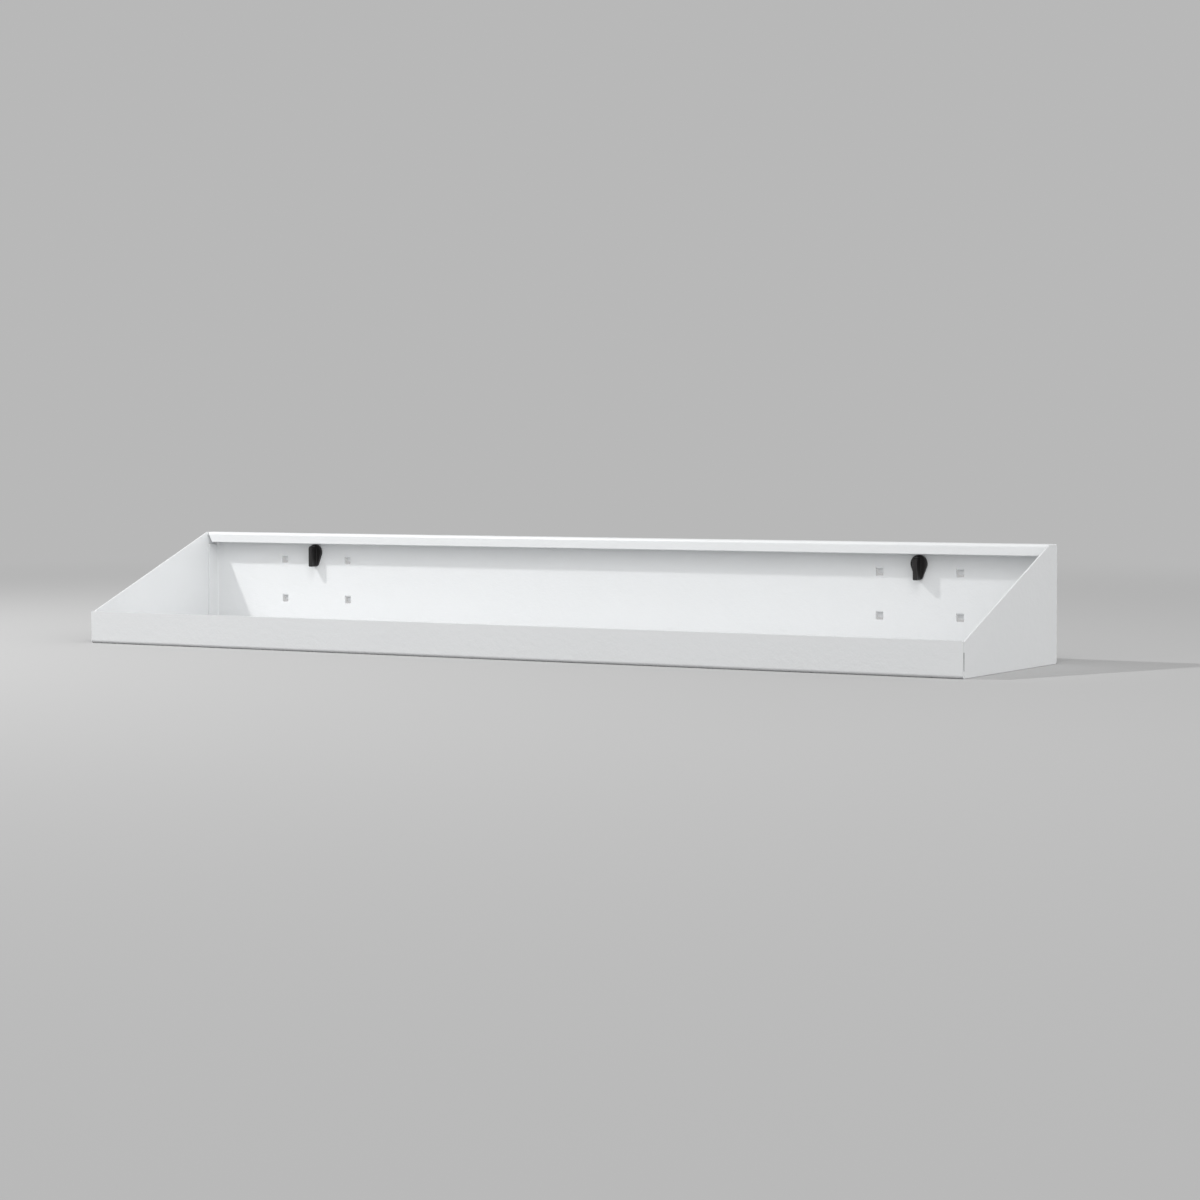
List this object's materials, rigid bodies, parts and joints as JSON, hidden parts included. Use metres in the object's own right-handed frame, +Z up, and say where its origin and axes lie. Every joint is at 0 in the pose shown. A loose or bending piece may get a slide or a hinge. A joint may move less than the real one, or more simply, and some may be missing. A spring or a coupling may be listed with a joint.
{
  "type": "perforated panel shelf tray",
  "caption": "Long shallow sheet-steel tray with slanted end plates that hooks into a perforated tool panel and is secured by quarter-turn locks.",
  "frame": {"origin": "mid-width, on the plane of the back wall that lies on the panel, at the centre height of the upper row of panel holes, which is the height of the lock axes", "axes": "+X to the right along the tray, +Y back into the panel, +Z up"},
  "size_m": [0.897, 0.1884, 0.1],
  "materials": {
    "powder_coat": "fine satin powder coat, light grey white",
    "lock_plastic": "moulded, satin black"
  },
  "bodies": {
    "tray": {"tray_sheet": "powder_coat", "left_end_plate": "powder_coat", "right_end_plate": "powder_coat"},
    "left_lock": {"left_lock_knob": "lock_plastic"},
    "right_lock": {"right_lock_knob": "lock_plastic"}
  },
  "joints": [
    {"name": "left_lock_turn", "type": "hinge", "parent": "tray", "child": "left_lock", "pos_m": [-0.323, 0, 0], "axis": [0, 1, 0], "range_deg": [0, 90]},
    {"name": "right_lock_turn", "type": "hinge", "parent": "tray", "child": "right_lock", "pos_m": [0.323, 0, 0], "axis": [0, 1, 0], "range_deg": [0, 90]}
  ]
}
